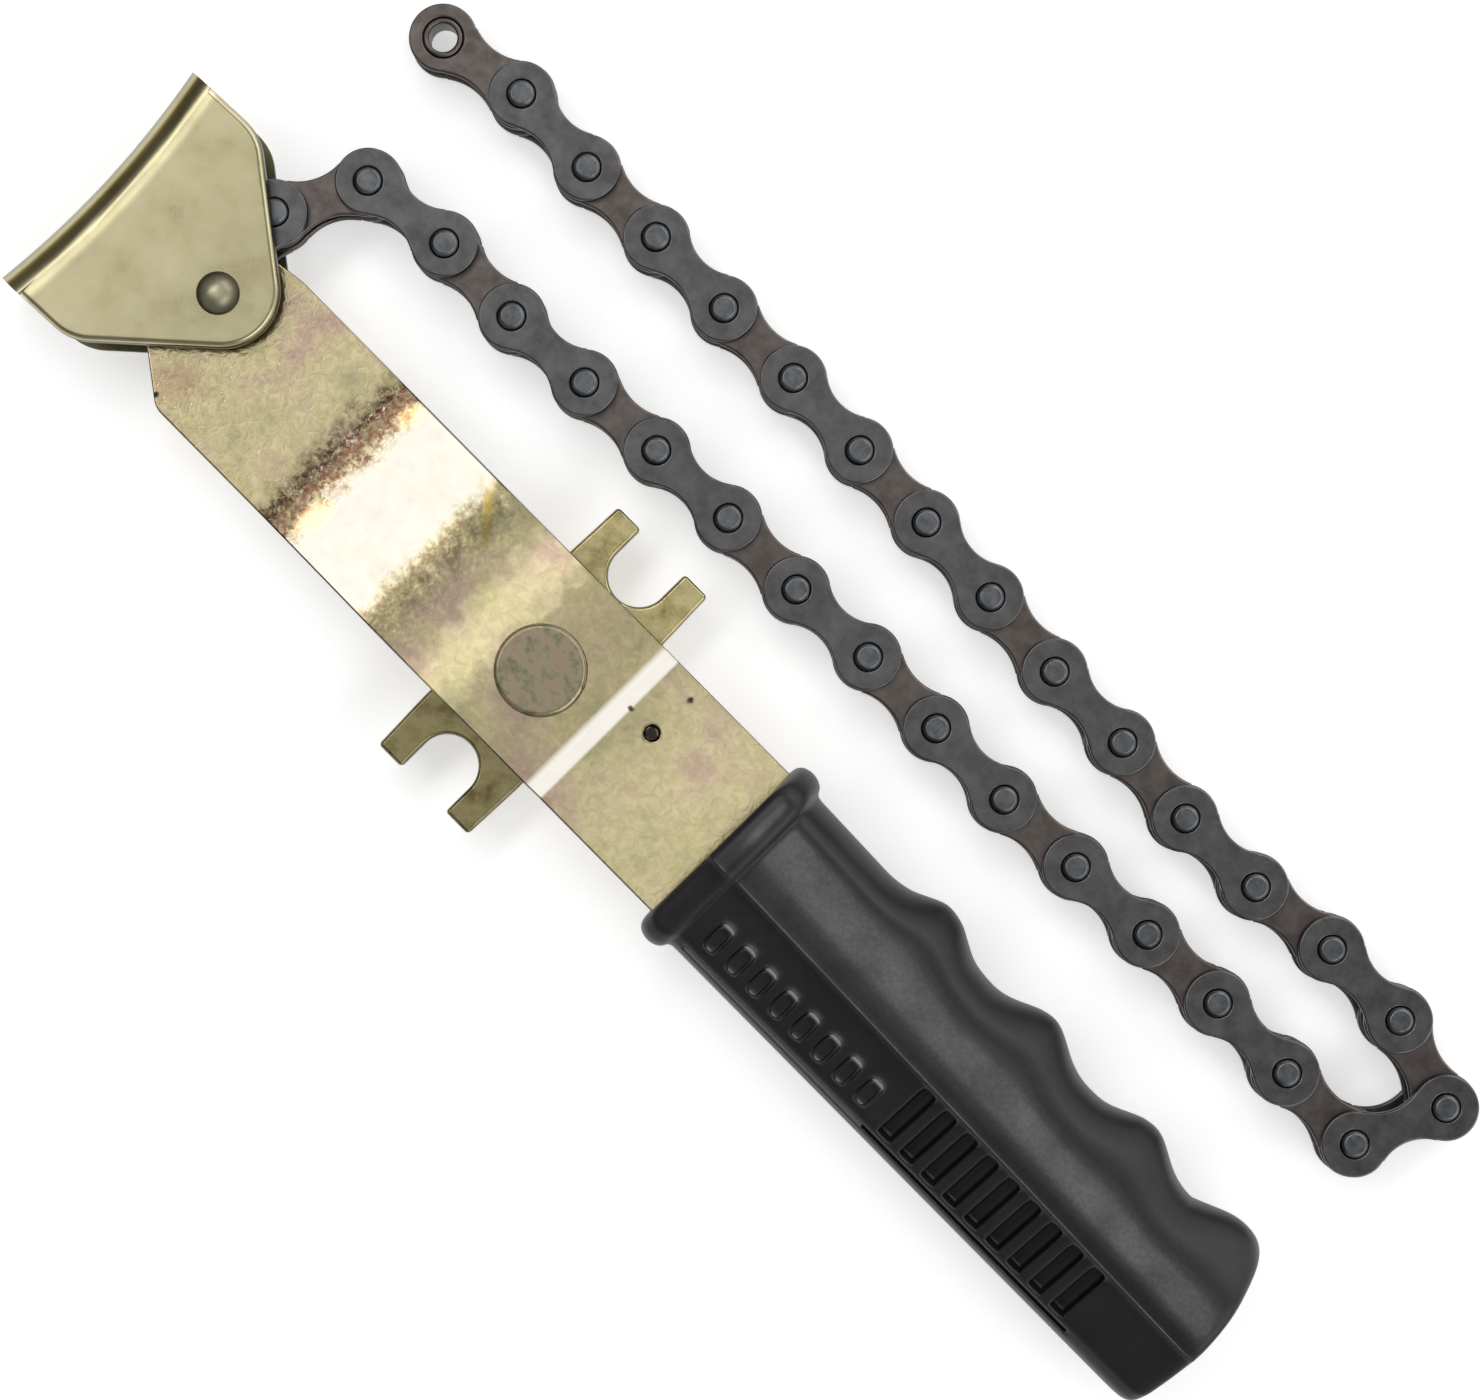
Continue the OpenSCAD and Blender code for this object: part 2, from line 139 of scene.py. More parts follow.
def softbox(name, aim_x, lean_x, lean_y, distance, size, level):
    """A soft panel over a point of the lever, leaning from straight above by degrees, that faces that point.

    level is its brightness, where 1 shows as plain white.
    """
    width, height = size
    lamp = bpy.data.lights.new(name, "AREA")
    lamp.shape = "RECTANGLE"
    lamp.size, lamp.size_y = width, height
    # A panel is as bright as a quarter of its power per area
    lamp.energy = 4 * width * height * level
    holder = bpy.data.objects.new(name, lamp)
    turn = Matrix.Rotation(radians(lean_x), 4, "Y") @ Matrix.Rotation(radians(-lean_y), 4, "X")
    holder.matrix_world = Matrix.Translation((aim_x * MM, 0, 0)) @ turn @ Matrix.Translation((0, 0, distance))
    holder.visible_camera = False
    bpy.context.scene.collection.objects.link(holder)


def light_studio():
    """A dim ceiling, a low surround that is bright on the grip's and the chain's side, and four soft panels."""
    softbox("panel_above", 44, 0, 0, 1.3, (0.6, 0.9), 0.58)
    softbox("panel_head_side", 30, -27, 0, 1.2, (0.3, 1.1), 2.8)
    softbox("panel_grip_side", 74, 49, 0, 1.2, (0.4, 1.0), 1.8)
    softbox("panel_chain_side", 74, 0, 58, 1.2, (1.2, 0.4), 1.4)
    world = bpy.data.worlds.new("studio")
    bpy.context.scene.world = world
    world.use_nodes = True
    tree = world.node_tree
    way = put(tree, "TexCoord", {}, {}).outputs["Generated"]
    parts = put(tree, "SeparateXYZ", {}, {"Vector": way})
    surround = put(tree, "ValToRGB", {"stops": [(0.25, 0.9), (0.7, 0.36)]}, {"Fac": parts.outputs["Z"]})
    tree.links.new(surround.outputs["Color"], tree.nodes["Background"].inputs["Color"])
    chain_side = put(tree, "MapRange", {}, {
        "Value": parts.outputs["Y"], "From Min": -0.8, "From Max": 0.4, "To Min": 0.33, "To Max": 1.0
    }).outputs["Result"]
    grip_side = put(tree, "MapRange", {}, {
        "Value": parts.outputs["X"], "From Min": -0.9, "From Max": -0.2, "To Min": 0.25, "To Max": 1.0
    }).outputs["Result"]
    level = put(tree, "Math", {"operation": "MULTIPLY"}, {0: chain_side, 1: grip_side}).outputs[0]
    tree.links.new(level, tree.nodes["Background"].inputs["Strength"])


def lay_floor():
    """A white table. To the eye and in reflections it glows a little, so it stays white around its shadows."""
    sheet = bmesh.new()
    bmesh.ops.create_grid(sheet, x_segments=1, y_segments=1, size=3)
    mesh = bpy.data.meshes.new("floor")
    sheet.to_mesh(mesh)
    sheet.free()
    floor = bpy.data.objects.new("floor", mesh)
    bpy.context.scene.collection.objects.link(floor)
    finish, tree, shader, _ = new_finish("white_table")
    shader.inputs["Base Color"].default_value = linear("#f7f7f7")
    shader.inputs["Roughness"].default_value = 0.9
    shader.inputs["Specular IOR Level"].default_value = 0
    ray = put(tree, "LightPath", {}, {})
    seen = ray.outputs["Is Camera Ray"]
    for kind in ("Is Glossy Ray", "Is Transmission Ray"):
        seen = put(tree, "Math", {"operation": "MAXIMUM"}, {0: seen, 1: ray.outputs[kind]}).outputs[0]
    glow = put(tree, "Math", {"operation": "MULTIPLY"}, {0: seen, 1: FLOOR_GLOW}).outputs[0]
    shader.inputs["Emission Color"].default_value = linear("#ffffff")
    tree.links.new(glow, shader.inputs["Emission Strength"])
    mesh.materials.append(finish)


# The jaw lies turned on its rivet, and its face is hollow round a centre. The fold's painted shade and highlight run
# between two distances from that centre. What faces up below these heights is the inside of the lower cheek, which gets
# painted shade. A cheek is a flat face larger than CHEEK_AREA, and its rim is rolled, apart from the bore round the
# rivet.
JAW_TURN = radians(2.5)
JAW_CENTRE = Matrix.Rotation(JAW_TURN, 3, "Z") @ Vector((-141, 0.6, 0))
FOLD_FROM, FOLD_TO = 119, 127
CHEEK_LOW, CHEEK_CLEAR = 3, 5
CHEEK_AREA = 100
RIM_ROUND, RIVET_ROOM = 0.9, 4

# Across the catch plate, the painted shade on the low fork ends between these places
LOW_FORK_FROM, LOW_FORK_TO = -17, -13


# Finishes
def by_tilt(tree, stops):
    """A tone that follows how far the surface is turned from flat: 1 is flat, 0 is a vertical edge."""
    normal = put(tree, "NewGeometry", {}, {}).outputs["Normal"]
    rise = put(tree, "SeparateXYZ", {}, {"Vector": normal}).outputs["Z"]
    flatness = put(tree, "Math", {"operation": "ABSOLUTE"}, {0: rise}).outputs[0]
    return put(tree, "ValToRGB", {"stops": stops}, {"Fac": flatness}).outputs["Color"]


def times(tree, first, second):
    """The product of two colours."""
    product = put(tree, "Mix", {"data_type": "RGBA", "blend_type": "MULTIPLY"}, {0: 1.0, 6: first, 7: second})
    return product.outputs[2]


def blot(tree, flat, x, y, size, stretch=1, turn=0, strength=1.0):
    """A mask of a blot of this radius at x, y that fades out round it, drawn out along a direction in degrees."""
    place = put(tree, "Mapping", {"vector_type": "TEXTURE"}, {
        "Vector": flat, "Location": (x * MM, y * MM, 0), "Rotation": (0, 0, radians(turn)),
        "Scale": (stretch * size * MM, size * MM, 1)
    }).outputs["Vector"]
    away = put(tree, "VectorMath", {"operation": "LENGTH"}, {0: place}).outputs["Value"]
    return put(tree, "MapRange", {}, {
        "Value": away, "From Min": 0.6, "From Max": 1.3, "To Min": strength, "To Max": 0.0
    }).outputs["Result"]


def stained(tree, under, mask, tone):
    """A colour with a stain of another tone where the mask is 1."""
    return put(tree, "Mix", {"data_type": "RGBA"}, {0: mask, 6: under, 7: linear(tone)}).outputs[2]


def plated_bar_finish():
    """Yellow passivated zinc on hot-rolled bar: gold with pink and olive drifts, orange peel, crazed where it is bent;
    painted shade and painted highlights lie along it and on its edges.
    """
    finish, tree, shader, here = new_finish("yellow_passivated_zinc_bar")
    drift = put(tree, "TexNoise", {}, {"Vector": here, "Scale": per(9), "Detail": 3, "Roughness": 0.55})
    gold = put(tree, "ValToRGB", {"stops": [
        (0.34, "#c6ae98"), (0.46, "#d2c39c"), (0.56, "#cec295"), (0.68, "#b9b28c")
    ]}, {"Fac": drift.outputs["Fac"]})
    peel = put(tree, "TexNoise", {}, {
        "Vector": here, "Scale": per(1.3), "Detail": 3, "Roughness": 0.6, "Distortion": 0.9
    }).outputs["Fac"]
    flecks = put(tree, "ValToRGB", {"stops": [(0.36, 0.9), (0.5, 0.99), (0.64, 1.1)]}, {"Fac": peel})
    toned = times(tree, gold.outputs["Color"], flecks.outputs["Color"])

    # Places along the bar, in tenths of a metre, with ragged borders
    tenth = 100 * MM
    ragged = put(tree, "TexNoise", {}, {"Vector": here, "Scale": per(2.2), "Detail": 4}).outputs["Fac"]
    sway = put(tree, "MapRange", {}, {
        "Value": ragged, "From Min": 0.3, "From Max": 0.7, "To Min": -1.1 * MM, "To Max": 1.1 * MM
    })
    along = put(tree, "SeparateXYZ", {}, {"Vector": here}).outputs["X"]
    swayed = put(tree, "Math", {"operation": "ADD"}, {0: along, 1: sway.outputs["Result"]}).outputs[0]
    share = put(tree, "Math", {"operation": "DIVIDE"}, {0: swayed, 1: tenth}).outputs[0]
    # Painted shade in both bends and over the seat before the step, painted highlights past the upper bend and by the
    # grip
    bend_shade_and_highlight = put(tree, "ValToRGB", {"stops": [
        (0.2, 0.97), (0.228, 0.74), (0.24, 0.58), (0.249, 0.26), (0.26, 0.16), (0.27, 0.34), (0.28, 0.5), (0.293, 0.75),
        (0.395, 0.8), (0.42, 0.54), (0.43, 0.34), (0.44, 0.44), (0.45, 0.68), (0.46, 0.83), (0.5, 0.73), (0.53, 1.4),
        (0.562, 1.4), (0.59, 0.72), (0.66, 0.6), (0.71, 0.68), (0.76, 0.8), (0.92, 1.05)
    ]}, {"Fac": share})
    toned = times(tree, toned, bend_shade_and_highlight.outputs["Color"])
    # Painted highlight colour: the slope's tone is greyed so that the lamp's reflection on it shows white, and the
    # step, whose borders are crisp, is painted near-white as a highlight
    slope = put(tree, "ValToRGB", {"stops": [
        (0.274, 0.0), (0.292, 0.9), (0.405, 0.9), (0.424, 0.0)
    ]}, {"Fac": share}).outputs["Color"]
    toned = stained(tree, toned, slope, "#94918b")
    exact = put(tree, "Math", {"operation": "DIVIDE"}, {0: along, 1: tenth}).outputs[0]
    step = put(tree, "ValToRGB", {"stops": [
        (0.721, 0.0), (0.724, 0.95), (0.746, 0.95), (0.75, 0.0)
    ]}, {"Fac": exact}).outputs["Color"]
    toned = stained(tree, toned, step, "#fffaf0")

    # The bends have crazed the plating: fine brown grains
    crazed = put(tree, "ValToRGB", {"stops": [
        (0.215, 0.0), (0.24, 1.0), (0.272, 1.0), (0.292, 0.0), (0.405, 0.0), (0.424, 0.6), (0.45, 0.3), (0.5, 0.0)
    ]}, {"Fac": share}).outputs["Color"]
    grains = put(tree, "TexNoise", {}, {
        "Vector": here, "Scale": per(0.7), "Detail": 2, "Roughness": 0.7
    }).outputs["Fac"]
    grains = put(tree, "MapRange", {}, {"Value": grains, "From Min": 0.4, "From Max": 0.6}).outputs["Result"]
    grains = put(tree, "Math", {"operation": "MULTIPLY"}, {0: crazed, 1: grains}).outputs[0]
    toned = stained(tree, toned, grains, "#54392e")

    # A streak of rust by the upper bend, tarnish at the lower one and at the head, painted shade in the punch mark's
    # hollow, specks
    flat = put(tree, "VectorMath", {"operation": "MULTIPLY"}, {0: here, 1: (1, 1, 0)}).outputs["Vector"]
    flat = put(tree, "VectorMath", {"operation": "MULTIPLY_ADD"}, {
        0: put(tree, "TexNoise", {}, {"Vector": here, "Scale": per(1.2)}).outputs["Color"],
        1: (0.9 * MM, 0.9 * MM, 0), 2: flat
    }).outputs["Vector"]
    for tone, *where in (
        ("#94803c", 44.9, 4.8, 0.75, 5, -50, 0.6), ("#dcb87c", 29, -10.9, 1.5, 1.8, 80, 0.35),
        ("#e0bd84", 28.6, 6.8, 1.3, 1.6, 80, 0.3), ("#c79a88", 4, -11.5, 2.6, 1.4, 60, 0.4),
        # The dark blot at the punch mark is painted shade in its hollow
        ("#322d2a", 79.3, 0.2, 1.15), ("#4a3a2c", 79.8, 6.7, 0.4), ("#5a4a38", 75.3, 0.6, 0.4),
        ("#3a342c", 3.2, -14.6, 0.45)
    ):
        toned = stained(tree, toned, blot(tree, flat, *where), tone)
    # Painted shade where the bar's rounded edges turn steep, and a painted highlight where they begin to turn
    edge_shade_and_rim_highlight = by_tilt(tree, [(0.3, 0.1), (0.7, 0.25), (0.86, 0.9), (0.93, 1.1), (0.98, 1.0)])
    tree.links.new(times(tree, toned, edge_shade_and_rim_highlight), shader.inputs["Base Color"])
    # The slope and the step are worn smooth
    even = put(tree, "ValToRGB", {"stops": [(0.275, 0.0), (0.3, 0.85), (0.455, 0.8), (0.49, 0.0)]}, {"Fac": share})
    worn = put(tree, "Math", {"operation": "ADD"}, {0: even.outputs["Color"], 1: step}).outputs[0]
    relief = put(tree, "MapRange", {}, {"Value": worn, "To Min": 0.5, "To Max": 0.05}).outputs["Result"]
    bump = put(tree, "Bump", {}, {"Strength": relief, "Distance": 0.1 * MM, "Height": peel})
    tree.links.new(bump.outputs["Normal"], shader.inputs["Normal"])
    # Rubbed matt between the upper bend and the catch plate and next to the grip
    matt = put(tree, "ValToRGB", {"stops": [
        (0.505, 0.0), (0.525, 0.2), (0.565, 0.2), (0.58, 0.0), (0.86, 0.0), (0.92, 0.1)
    ]}, {"Fac": share})
    dull = put(tree, "MapRange", {}, {"Value": ragged, "To Min": 0.13, "To Max": 0.24})
    dulled = put(tree, "Math", {"operation": "ADD"}, {0: dull.outputs["Result"], 1: matt.outputs["Color"]})
    tree.links.new(dulled.outputs[0], shader.inputs["Roughness"])
    shader.inputs["Metallic"].default_value = 1.0
    return finish


def folded(tree, here, edges):
    """The jaw's painted shade where the sheet folds and painted highlight just inside the fold, by distance from its
    hollow's centre.

    The inside of the lower cheek, below the upper one, gets painted shade.
    """
    flat = put(tree, "VectorMath", {"operation": "MULTIPLY"}, {0: here, 1: (1, 1, 0)}).outputs["Vector"]
    away = put(tree, "VectorMath", {"operation": "DISTANCE"}, {0: flat, 1: JAW_CENTRE * MM}).outputs["Value"]
    share = put(tree, "MapRange", {}, {
        "Value": away, "From Min": FOLD_FROM * MM, "From Max": FOLD_TO * MM
    }).outputs["Result"]
    fold_light_and_shade = put(tree, "ValToRGB", {"stops": [
        (0.11, 0.75), (0.14, 0.55), (0.27, 0.9), (0.32, "#d9c8a0"), (0.39, "#cbbf9c"), (0.47, 0.58), (0.53, 0.62),
        (0.58, 1.1), (0.635, 1.55), (0.69, 1.58), (0.74, 1.18), (0.79, 0.98), (0.88, 1.0)
    ]}, {"Fac": share}).outputs["Color"]
    on_bend = put(tree, "ValToRGB", {"stops": [(0.61, 1.0), (0.64, 0.0)]}, {"Fac": share}).outputs["Color"]
    edges = put(tree, "Mix", {"data_type": "RGBA", "blend_type": "LIGHTEN"}, {0: 1.0, 6: edges, 7: on_bend}).outputs[2]
    # Painted shade on the inside of the lower cheek, where it faces up below the upper cheek
    normal = put(tree, "NewGeometry", {}, {}).outputs["Normal"]
    rise = put(tree, "SeparateXYZ", {}, {"Vector": normal}).outputs["Z"]
    height = put(tree, "SeparateXYZ", {}, {"Vector": here}).outputs["Z"]
    upward = put(tree, "MapRange", {}, {"Value": rise, "From Min": 0.2, "From Max": 0.5}).outputs["Result"]
    low = put(tree, "MapRange", {}, {
        "Value": height, "From Min": CHEEK_LOW * MM, "From Max": CHEEK_CLEAR * MM, "To Min": 1.0, "To Max": 0.0
    }).outputs["Result"]
    inside = put(tree, "Math", {"operation": "MULTIPLY"}, {0: upward, 1: low}).outputs[0]
    dim = put(tree, "MapRange", {}, {"Value": inside, "To Min": 1.0, "To Max": 0.4}).outputs["Result"]
    return times(tree, times(tree, edges, fold_light_and_shade), dim)


def plated_sheet_finish(name, tones, grain, edge_shade_and_glint_stops, dull_from, dull_to, low_side=1.0, fold=False):
    """Yellow passivated zinc on pressed steel: cloudy tones of this grain, with painted shade and highlights on its
    edges and, where fold is set, across the fold.

    low_side is how much of its tone a painted shade leaves on the side away from the chain.
    """
    finish, tree, shader, here = new_finish(name)
    cloud = put(tree, "TexNoise", {}, {"Vector": here, "Scale": per(grain), "Detail": 5, "Roughness": 0.62})
    stops = [(0.34 + 0.32 * i / (len(tones) - 1), tone) for i, tone in enumerate(tones)]
    gold = put(tree, "ValToRGB", {"stops": stops}, {"Fac": cloud.outputs["Fac"]}).outputs["Color"]
    across = put(tree, "SeparateXYZ", {}, {"Vector": here}).outputs["Y"]
    # Painted shade on the low fork, on the side away from the chain
    shade = put(tree, "MapRange", {}, {
        "Value": across, "From Min": LOW_FORK_FROM * MM, "From Max": LOW_FORK_TO * MM, "To Min": low_side, "To Max": 1.0
    }).outputs["Result"]
    edges = by_tilt(tree, edge_shade_and_glint_stops)
    gold = times(tree, times(tree, gold, shade), folded(tree, here, edges) if fold else edges)
    tree.links.new(gold, shader.inputs["Base Color"])
    peel = put(tree, "TexNoise", {}, {"Vector": here, "Scale": per(1.1), "Detail": 3})
    bump = put(tree, "Bump", {}, {"Strength": 0.12, "Distance": 0.08 * MM, "Height": peel.outputs["Fac"]})
    tree.links.new(bump.outputs["Normal"], shader.inputs["Normal"])
    dull = put(tree, "MapRange", {}, {"Value": cloud.outputs["Fac"], "To Min": dull_from, "To Max": dull_to})
    tree.links.new(dull.outputs["Result"], shader.inputs["Roughness"])
    shader.inputs["Metallic"].default_value = 1.0
    return finish


def black_steel_finish(name, tone, shade, grain):
    """Steel blackened in hot oxide salts and oiled: satin near-black, mottled, paler on its rounded edges partly from
    wear and partly as a painted highlight, with painted shade where an edge turns steep.
    """
    finish, tree, shader, here = new_finish(name)
    mottle = put(tree, "TexNoise", {}, {"Vector": here, "Scale": per(grain), "Detail": 5, "Roughness": 0.65})
    grey = put(tree, "ValToRGB", {"stops": [(0.35, shade), (0.65, tone)]}, {"Fac": mottle.outputs["Fac"]})
    # Painted shade where an edge turns steep, and a paler round that is partly wear and partly painted highlight
    painted_edge_lighting = by_tilt(tree, [(0.25, 0.2), (0.6, 1.0), (0.86, 1.3), (0.985, 1.0), (0.995, 0.85)])
    tree.links.new(times(tree, grey.outputs["Color"], painted_edge_lighting), shader.inputs["Base Color"])
    dull = put(tree, "MapRange", {}, {"Value": mottle.outputs["Fac"], "To Min": 0.25, "To Max": 0.45})
    tree.links.new(dull.outputs["Result"], shader.inputs["Roughness"])
    bump = put(tree, "Bump", {}, {"Strength": 0.25, "Distance": 0.05 * MM, "Height": mottle.outputs["Fac"]})
    tree.links.new(bump.outputs["Normal"], shader.inputs["Normal"])
    shader.inputs["Metallic"].default_value = 1.0
    return finish


def moulded_rubber_finish():
    """Soft black PVC from a spark-eroded mould: matt, fine pebble, a painted highlight on its flat crown and painted
    shade on its slopes, with a faint grey bloom at random.
    """
    finish, tree, shader, here = new_finish("moulded_black_pvc")
    # Painted highlight on the flat crown, painted shade on the slopes
    crown_highlight_slope_shade = by_tilt(tree, [
        (0.3, "#121112"), (0.9, "#121112"), (0.972, "#1d1c1d"), (0.99, "#353435"), (0.998, "#5a595a")
    ])
    cloud = put(tree, "TexNoise", {}, {"Vector": here, "Scale": per(6), "Detail": 4})
    bloom = put(tree, "ValToRGB", {"stops": [(0.35, 0.75), (0.65, 1.2)]}, {"Fac": cloud.outputs["Fac"]})
    toned = times(tree, crown_highlight_slope_shade, bloom.outputs["Color"])
    pebble = put(tree, "TexNoise", {}, {"Vector": here, "Scale": per(0.5), "Detail": 2})
    bump = put(tree, "Bump", {}, {"Strength": 0.35, "Distance": 0.06 * MM, "Height": pebble.outputs["Fac"]})
    tree.links.new(bump.outputs["Normal"], shader.inputs["Normal"])
    grit = put(tree, "ValToRGB", {"stops": [(0.35, 0.85), (0.65, 1.15)]}, {"Fac": pebble.outputs["Fac"]})
    toned = times(tree, toned, grit.outputs["Color"])
    # Painted highlight where a raised block's edge faces up towards the ridge
    normal = put(tree, "NewGeometry", {}, {}).outputs["Normal"]
    facing = put(tree, "SeparateXYZ", {}, {"Vector": normal}).outputs["Y"]
    place = put(tree, "SeparateXYZ", {}, {"Vector": here}).outputs
    faced = put(tree, "MapRange", {}, {"Value": facing, "From Min": 0.2, "From Max": 0.45}).outputs["Result"]
    panel_end = BAR_MID - 4.5
    on_panel = put(tree, "MapRange", {}, {
        "Value": place["Y"], "From Min": (panel_end - 0.5) * MM, "From Max": panel_end * MM,
        "To Min": 1.0, "To Max": 0.0
    }).outputs["Result"]
    blocks_end = grip_low.x + BLOCK_FROM + PANEL_PITCH * BLOCKS
    on_blocks = put(tree, "MapRange", {}, {
        "Value": place["X"], "From Min": (blocks_end - 0.2) * MM, "From Max": blocks_end * MM,
        "To Min": 1.0, "To Max": 0.0
    }).outputs["Result"]
    painted_edge_lighting = put(tree, "Math", {"operation": "MULTIPLY"}, {0: faced, 1: on_panel}).outputs[0]
    painted_edge_lighting = put(tree, "Math", {"operation": "MULTIPLY"}, {0: painted_edge_lighting, 1: on_blocks}).outputs[0]
    tree.links.new(stained(tree, toned, painted_edge_lighting, "#8a888a"), shader.inputs["Base Color"])
    shader.inputs["Roughness"].default_value = 0.42
    shader.inputs["IOR"].default_value = 1.53
    return finish


# Metal pieces
def piece_from(bm, name, body, finish):
    """Makes a worked mesh a piece that rides a body and takes its finish from a slot."""
    for face in bm.faces:
        face.smooth = True
    mesh = bpy.data.meshes.new(name)
    bm.to_mesh(mesh)
    bm.free()
    mesh.materials.append(finish)
    piece = bpy.data.objects.new(name, mesh)
    bpy.context.scene.collection.objects.link(piece)
    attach(piece, body)
    return piece


def merged(node, gap):
    """A copy of a CAD node's mesh: its triangles joined, points closer than the gap made one, its flat faces whole."""
    bm = bmesh.new()
    bm.from_mesh(frame["nodes"][node].data)
    bmesh.ops.remove_doubles(bm, verts=bm.verts, dist=gap * MM)
    bmesh.ops.dissolve_limit(
        bm, angle_limit=radians(0.5), use_dissolve_boundaries=False, verts=bm.verts, edges=bm.edges
    )
    for edge in bm.edges:
        edge.smooth = True
    return bm


def sharp_edges(bm, angle):
    """The edges where the surface turns by more than this angle."""
    return [e for e in bm.edges if e.is_manifold and e.calc_face_angle() > radians(angle)]


def break_edges(bm, edges, size, segments):
    """Rounds these edges."""
    bmesh.ops.bevel(
        bm, geom=edges, offset=size * MM, offset_type="OFFSET", segments=segments, profile=0.5, affect="EDGES",
        clamp_overlap=True, material=-1
    )


def stand_in(bm, node, name, finish):
    """Shows a worked copy in place of its CAD node."""
    piece = piece_from(bm, name, frame["nodes"][node]["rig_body"], finish)
    even = piece.modifiers.new("even shading", "WEIGHTED_NORMAL")
    even.keep_sharp = True
    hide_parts(node)


def edged(node, name, finish, edge, sharp=40, segments=3, gap=0.002, crisp=90):
    """A copy of a CAD node. Edges past sharp degrees get a small round; of the others, those past crisp stay crisp."""
    bm = merged(node, gap)
    broken = sharp_edges(bm, sharp)
    for line in set(sharp_edges(bm, crisp)).difference(broken):
        line.smooth = False
    break_edges(bm, broken, edge, segments)
    stand_in(bm, node, name, finish)


def rimmed_jaw(finish):
    """The jaw shoe with a rolled rim round the flat of each cheek, which ends where the fold begins."""
    bm = merged("jaw_shoe", 0.03)
    along = Vector((cos(JAW_TURN), sin(JAW_TURN), 0))
    cheeks = [f for f in bm.faces if f.calc_area() > CHEEK_AREA * MM ** 2 and abs(f.normal.z) > 0.99]
    start = min(v.co.dot(along) for f in cheeks for v in f.verts)
    bmesh.ops.bisect_plane(
        bm, geom=bm.verts[:] + bm.edges[:] + bm.faces[:], dist=0.02 * MM, plane_co=along * start, plane_no=along
    )
    levels = [corner.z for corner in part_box("jaw_shoe")]
    rim = [e for e in sharp_edges(bm, 40)
           if any(all(abs(v.co.z - z) < 0.01 * MM for v in e.verts) for z in levels)
           and all(v.co.dot(along) > start - 0.03 * MM and v.co.to_2d().length > RIVET_ROOM * MM for v in e.verts)]
    for line in set(sharp_edges(bm, 40)).difference(rim):
        line.smooth = False
    break_edges(bm, rim, RIM_ROUND, 4)
    stand_in(bm, "jaw_shoe", "jaw_shoe_plated", finish)


# Grip, in millimetres from its collar's face, the bar's middle and its own mid plane
grip_low, grip_high = (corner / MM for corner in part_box("grip"))
bar_low, bar_high = (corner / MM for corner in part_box("lever_bar"))
GRIP_LEN = grip_high.x - grip_low.x
BAR_MID = (bar_low.y + bar_high.y) / 2
COLLAR_RISE, COLLAR_LEN = 1.2, 4.6
HALF_T = (grip_high.z - grip_low.z) / 2 - COLLAR_RISE
BACK, FRONT, FRONT_TAPER = 13.8, 13.2, 2.6
FINGER_X, FINGER_PITCH, FINGER_H = 27.5, 19, 3
END_LEN, END_R, END_Y = 3, 54, 4
PANEL_FROM, PANEL_TO, PANEL_PITCH = 6.2, 75.4, 3.9
BLOCKS, BLOCK_FROM, BLOCK_LEN = 8, 7.3, 2.5
RIBS, RIB_FROM, RIB_LEN = 10, 38.5, 1.7
GROOVE_COL, PANEL_COL, BLOCK_COL, PANEL_END_COL, RIDGE_COL = 3, 5, 6, 8, 9
RIDGE_W = 0.35
PLAIN_AT = 77.8, 80.2, 82.6

# What is pressed into the grip's faces, each step a width and a rise, and how crisp its edges and the ridge stay
GROOVE_PRESS = [(0.1, -0.8)]
BLOCK_PRESS = [(0.25, 0.6), (0.2, 0.0), (0.12, -0.3)]
GAP_PRESS = [(0.14, -1.8)]
PRESS_CREASE, RIDGE_CREASE = 0.4, 0.75


def finger_edge(x):
    """How far the finger edge stands from the bar's middle: a gentle taper with four swells, the last one broader."""
    turns = (x - FINGER_X) / FINGER_PITCH
    swell = FINGER_H * abs(cos(pi * turns)) ** (3 if turns < 2.5 else 1.2)
    return FRONT - FRONT_TAPER * x / GRIP_LEN + (swell if turns > -0.5 else 0)


def grip_section(x):
    """Upper half of the section: rail, groove, sloped panel, ridge, broad top and rounded finger edge."""
    share = x / GRIP_LEN
    base = FRONT - FRONT_TAPER * share
    edge = finger_edge(x)
    swell = edge - base
    ridge = -1.85 - 1.95 * share
    flat = ridge + 4.2 - 2 * share
    low, top = Vector((-11.7, 4.5)), Vector((ridge - 0.5, HALF_T - 1.4))
    return [
        (-BACK, 0), (-BACK + 0.05, 1.6), (-BACK + 0.45, 2.8), (-12.9, 3.4), (-12.4, 3.85),
        low, low.lerp(top, 0.09), low.lerp(top, 0.57), top,
        (ridge, HALF_T - 0.82), (ridge + RIDGE_W, HALF_T - 0.8),
        (flat, HALF_T - 0.06), (flat + 2.6 + 1.6 * share, HALF_T),
        (base - 5.2 + 0.2 * swell, HALF_T - 0.08 - 0.62 * share),
        (base - 3 + 0.5 * swell, HALF_T - 0.18 - 2.55 * share),
        (base - 1.2 + 0.85 * swell, HALF_T - 4.4), (edge - 0.3, 1.9), (edge, 0)
    ]


